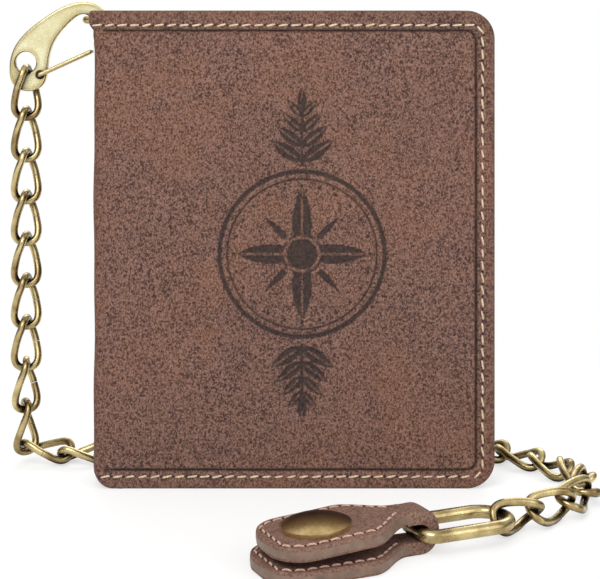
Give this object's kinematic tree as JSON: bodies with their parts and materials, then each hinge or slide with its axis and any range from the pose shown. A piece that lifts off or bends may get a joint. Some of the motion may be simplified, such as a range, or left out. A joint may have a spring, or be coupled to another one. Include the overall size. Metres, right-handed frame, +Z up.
{
  "type": "chain wallet",
  "caption": "Upright bifold leather chain wallet with coin pocket, snap hook, twisted curb chain, end ring and belt strap with press stud.",
  "frame": {"origin": "centre of the base of the closed wallet, on the plane it stands on", "axes": "+X to the right seen from the front cover, +Y towards the back cover, +Z up"},
  "size_m": [0.1499, 0.1116, 0.1213],
  "materials": {
    "cover_leather": "matte",
    "inner_leather": "matte",
    "strap_leather": "matte",
    "lining_cloth": "matte",
    "felt_padding": "matte",
    "clear_film": "gloss",
    "antique_brass": "satin",
    "pale_brass": "satin",
    "dark_brass": "satin"
  },
  "bodies": {
    "wallet_back": {"back_cover_leather": "cover_leather", "back_cover_lining": "lining_cloth", "back_inner_panel": "inner_leather", "coin_pouch": "cover_leather", "coin_snap_stud": "antique_brass", "dring_tab": "cover_leather", "tab_rivet": "antique_brass"},
    "spine": {"spine_leather": "cover_leather", "spine_lining": "lining_cloth"},
    "front_cover": {"front_cover_leather": "cover_leather", "front_cover_padding": "felt_padding", "front_cover_lining": "lining_cloth", "front_inner_panel": "inner_leather", "card_slot_upper": "inner_leather", "card_slot_middle": "inner_leather", "card_slot_lower": "inner_leather"},
    "wing": {"wing_panel": "inner_leather", "wing_window": "clear_film"},
    "coin_flap_group": {"coin_flap": "cover_leather", "coin_snap_cap": "dark_brass"},
    "d_ring_group": {"d_ring": "antique_brass"},
    "hook": {"snap_hook_body": "pale_brass"},
    "gate": {"hook_gate": "pale_brass"},
    "link_01": {"link_01": "antique_brass"},
    "link_02": {"link_02": "antique_brass"},
    "link_03": {"link_03": "antique_brass"},
    "link_04": {"link_04": "antique_brass"},
    "link_05": {"link_05": "antique_brass"},
    "link_06": {"link_06": "antique_brass"},
    "link_07": {"link_07": "antique_brass"},
    "link_08": {"link_08": "antique_brass"},
    "link_09": {"link_09": "antique_brass"},
    "link_10": {"link_10": "antique_brass"},
    "link_11": {"link_11": "antique_brass"},
    "link_12": {"link_12": "antique_brass"},
    "link_13": {"link_13": "antique_brass"},
    "link_14": {"link_14": "antique_brass"},
    "link_15": {"link_15": "antique_brass"},
    "link_16": {"link_16": "antique_brass"},
    "link_17": {"link_17": "antique_brass"},
    "link_18": {"link_18": "antique_brass"},
    "link_19": {"link_19": "antique_brass"},
    "link_20": {"link_20": "antique_brass"},
    "link_21": {"link_21": "antique_brass"},
    "link_22": {"link_22": "antique_brass"},
    "link_23": {"link_23": "antique_brass"},
    "link_24": {"link_24": "antique_brass"},
    "link_25": {"link_25": "antique_brass"},
    "link_26": {"link_26": "antique_brass"},
    "link_27": {"link_27": "antique_brass"},
    "link_28": {"link_28": "antique_brass"},
    "end_ring_group": {"end_ring": "antique_brass"},
    "strap_base": {"strap_lower": "strap_leather", "strap_fold": "strap_leather", "strap_snap_stud": "antique_brass"},
    "strap_top": {"strap_upper": "strap_leather", "strap_snap_socket": "antique_brass", "strap_snap_cap": "dark_brass"}
  },
  "joints": [
    {"name": "cover_open", "type": "hinge", "parent": "wallet_back", "child": "spine", "pos_m": [-0.05, 0.009, 0.06], "axis": [0, 0, -1], "range_deg": [0, 90]},
    {"name": "cover_fold", "type": "hinge", "parent": "spine", "child": "front_cover", "pos_m": [-0.05, -0.009, 0.06], "axis": [0, 0, -1], "range_deg": [0, 90]},
    {"name": "wing_turn", "type": "hinge", "parent": "spine", "child": "wing", "pos_m": [-0.0468, 0, 0.06], "axis": [0, 0, -1], "range_deg": [0, 54]},
    {"name": "coin_flap_open", "type": "hinge", "parent": "wallet_back", "child": "coin_flap_group", "pos_m": [0.004, 0.0164, 0.085], "axis": [1, 0, 0], "range_deg": [0, 150]},
    {"name": "d_ring_swing", "type": "hinge", "parent": "wallet_back", "child": "d_ring_group", "pos_m": [-0.0463, 0.0113, 0.1165], "axis": [1, 0, 0], "range_deg": [-17, 5]},
    {"name": "hook_level", "type": "hinge", "parent": "d_ring_group", "child": "hook", "pos_m": [-0.0546, 0.0146, 0.1165], "axis": [1, 0, 0], "range_deg": [-5, 17]},
    {"name": "gate_open", "type": "hinge", "parent": "hook", "child": "gate", "pos_m": [-0.0668, 0.0146, 0.1021], "axis": [0, -1, 0], "range_deg": [0, 25]},
    {"name": "link_01_turn", "type": "hinge", "parent": "hook", "child": "link_01", "pos_m": [-0.0706, 0.0146, 0.1029], "axis": [0, 1, 0], "range_deg": [-6, 6]},
    {"name": "link_02_level", "type": "hinge", "parent": "link_01", "child": "link_02", "pos_m": [-0.0706, 0.0146, 0.0919], "axis": [0, 1, 0], "range_deg": [-6, 6]},
    {"name": "link_03_turn", "type": "hinge", "parent": "link_02", "child": "link_03", "pos_m": [-0.0706, 0.0146, 0.0809], "axis": [0, -1, 0], "range_deg": [-10, 10]},
    {"name": "link_04_level", "type": "hinge", "parent": "link_03", "child": "link_04", "pos_m": [-0.0706, 0.0146, 0.0699], "axis": [0, -1, 0], "range_deg": [-10, 10]},
    {"name": "link_05_turn", "type": "hinge", "parent": "link_04", "child": "link_05", "pos_m": [-0.0706, 0.0146, 0.0589], "axis": [0, 1, 0], "range_deg": [-10, 10]},
    {"name": "link_06_level", "type": "hinge", "parent": "link_05", "child": "link_06", "pos_m": [-0.0706, 0.0146, 0.0479], "axis": [0, 1, 0], "range_deg": [-10, 10]},
    {"name": "link_07_turn", "type": "hinge", "parent": "link_06", "child": "link_07", "pos_m": [-0.0706, 0.0146, 0.0369], "axis": [0, -1, 0], "range_deg": [-10, 10]},
    {"name": "link_08_level", "type": "hinge", "parent": "link_07", "child": "link_08", "pos_m": [-0.0706, 0.0146, 0.0259], "axis": [0, -1, 0], "range_deg": [-10, 10]},
    {"name": "link_09_turn", "type": "hinge", "parent": "link_08", "child": "link_09", "pos_m": [-0.0706, 0.0146, 0.0149], "axis": [0, 1, 0], "range_deg": [-12, 5]},
    {"name": "link_10_level", "type": "hinge", "parent": "link_09", "child": "link_10", "pos_m": [-0.07055, 0.01504, 0.00408], "axis": [0, 1, 0], "range_deg": [-5, 12]},
    {"name": "link_11_turn", "type": "hinge", "parent": "link_10", "child": "link_11", "pos_m": [-0.06002, 0.01353, 0.00285], "axis": [0, 0, -1], "range_deg": [-4, 4]},
    {"name": "link_12_level", "type": "hinge", "parent": "link_11", "child": "link_12", "pos_m": [-0.04938, 0.01455, 0.0026], "axis": [0, 0, -1], "range_deg": [-4, 4]},
    {"name": "link_13_turn", "type": "hinge", "parent": "link_12", "child": "link_13", "pos_m": [-0.03916, 0.01861, 0.0026], "axis": [0, 0, 1], "range_deg": [-10, 10]},
    {"name": "link_14_level", "type": "hinge", "parent": "link_13", "child": "link_14", "pos_m": [-0.02925, 0.02338, 0.0026], "axis": [0, 0, 1], "range_deg": [-10, 10]},
    {"name": "link_15_turn", "type": "hinge", "parent": "link_14", "child": "link_15", "pos_m": [-0.01883, 0.02691, 0.0026], "axis": [0, 0, -1], "range_deg": [-10, 10]},
    {"name": "link_16_level", "type": "hinge", "parent": "link_15", "child": "link_16", "pos_m": [-0.00805, 0.02914, 0.0026], "axis": [0, 0, -1], "range_deg": [-10, 10]},
    {"name": "link_17_turn", "type": "hinge", "parent": "link_16", "child": "link_17", "pos_m": [0.00291, 0.03004, 0.0026], "axis": [0, 0, 1], "range_deg": [-6, 6]},
    {"name": "link_18_level", "type": "hinge", "parent": "link_17", "child": "link_18", "pos_m": [0.0139, 0.0296, 0.0026], "axis": [0, 0, 1], "range_deg": [-6, 6]},
    {"name": "link_19_turn", "type": "hinge", "parent": "link_18", "child": "link_19", "pos_m": [0.02475, 0.02782, 0.0026], "axis": [0, 0, -1], "range_deg": [-10, 10]},
    {"name": "link_20_level", "type": "hinge", "parent": "link_19", "child": "link_20", "pos_m": [0.03531, 0.02474, 0.0026], "axis": [0, 0, -1], "range_deg": [-10, 10]},
    {"name": "link_21_turn", "type": "hinge", "parent": "link_20", "child": "link_21", "pos_m": [0.04542, 0.02039, 0.0026], "axis": [0, 0, 1], "range_deg": [-10, 10]},
    {"name": "link_22_level", "type": "hinge", "parent": "link_21", "child": "link_22", "pos_m": [0.05491, 0.01483, 0.0026], "axis": [0, 0, 1], "range_deg": [-10, 10]},
    {"name": "link_23_turn", "type": "hinge", "parent": "link_22", "child": "link_23", "pos_m": [0.06279, 0.00715, 0.0026], "axis": [0, 0, 1], "range_deg": [-8, 15]},
    {"name": "link_24_unroll", "type": "hinge", "parent": "link_23", "child": "link_24", "pos_m": [0.06857, -0.00221, 0.00297], "axis": [0, 0, 1], "range_deg": [0, 45]},
    {"name": "link_25_unroll", "type": "hinge", "parent": "link_24", "child": "link_25", "pos_m": [0.07154, -0.0128, 0.00362], "axis": [0, 0, 1], "range_deg": [0, 45]},
    {"name": "link_26_unroll", "type": "hinge", "parent": "link_25", "child": "link_26", "pos_m": [0.06996, -0.02368, 0.00402], "axis": [0, 0, 1], "range_deg": [0, 45]},
    {"name": "link_27_unroll", "type": "hinge", "parent": "link_26", "child": "link_27", "pos_m": [0.06408, -0.03298, 0.00418], "axis": [0, 0, 1], "range_deg": [0, 45]},
    {"name": "link_28_turn", "type": "hinge", "parent": "link_27", "child": "link_28", "pos_m": [0.05537, -0.0397, 0.00421], "axis": [0, 0, 1], "range_deg": [-8, 8]},
    {"name": "end_ring_swing", "type": "hinge", "parent": "link_28", "child": "end_ring_group", "pos_m": [0.04702, -0.04508, 0.0045], "axis": [0, 0, 1], "range_deg": [-8, 8]},
    {"name": "strap_swing", "type": "hinge", "parent": "end_ring_group", "child": "strap_base", "pos_m": [0.02698, -0.05417, 0.0045], "axis": [-0.4131, 0.9107, 0], "range_deg": [0, 45]},
    {"name": "belt_tab_open", "type": "hinge", "parent": "strap_base", "child": "strap_top", "pos_m": [0.02516, -0.055, 0.0072], "axis": [-0.4131, 0.9107, 0], "range_deg": [0, 90], "deforming": ["strap_fold"]}
  ],
  "couplings": [
    {"joint": "cover_fold", "follows": "cover_open", "ratio": 1},
    {"joint": "wing_turn", "follows": "cover_open", "ratio": 0.6},
    {"joint": "hook_level", "follows": "d_ring_swing", "ratio": -1},
    {"joint": "link_02_level", "follows": "link_01_turn", "ratio": -1},
    {"joint": "link_04_level", "follows": "link_03_turn", "ratio": -1},
    {"joint": "link_06_level", "follows": "link_05_turn", "ratio": -1},
    {"joint": "link_08_level", "follows": "link_07_turn", "ratio": -1},
    {"joint": "link_10_level", "follows": "link_09_turn", "ratio": -1},
    {"joint": "link_12_level", "follows": "link_11_turn", "ratio": -1},
    {"joint": "link_14_level", "follows": "link_13_turn", "ratio": -1},
    {"joint": "link_16_level", "follows": "link_15_turn", "ratio": -1},
    {"joint": "link_18_level", "follows": "link_17_turn", "ratio": -1},
    {"joint": "link_20_level", "follows": "link_19_turn", "ratio": -1},
    {"joint": "link_22_level", "follows": "link_21_turn", "ratio": -1},
    {"joint": "link_24_unroll", "follows": "cover_open", "ratio": 0.5},
    {"joint": "link_25_unroll", "follows": "cover_open", "ratio": 0.5},
    {"joint": "link_26_unroll", "follows": "cover_open", "ratio": 0.5},
    {"joint": "link_27_unroll", "follows": "cover_open", "ratio": 0.5}
  ]
}
